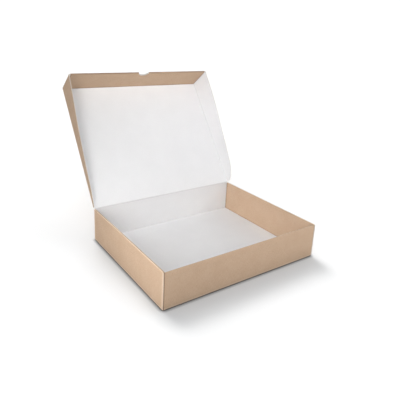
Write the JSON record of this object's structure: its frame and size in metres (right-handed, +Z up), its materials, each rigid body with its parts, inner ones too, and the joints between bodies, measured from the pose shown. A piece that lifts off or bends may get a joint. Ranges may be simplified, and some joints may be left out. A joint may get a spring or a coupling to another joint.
{
  "type": "wine gift box",
  "caption": "Flat hinged-lid gift box of kraft board with a white inside, rolled-over walls and a thumb notch, for bottles lying side by side.",
  "frame": {"origin": "middle of the tray's underside, on the table", "axes": "+Z up, -Y towards the front wall, +Y towards the lid's hinge crease, X along the box's width"},
  "size_m": [0.4142, 0.5094, 0.3771],
  "materials": {
    "kraft_board": "matte kraft liner outside, white liner inside"
  },
  "bodies": {
    "tray": {"tray": "kraft_board"},
    "lid": {"lid": "kraft_board"}
  },
  "joints": [
    {"name": "lid_hinge", "type": "hinge", "parent": "tray", "child": "lid", "pos_m": [0, 0.15795, 0.07925], "axis": [-1, 0, 0], "range_deg": [-127, 65]}
  ]
}
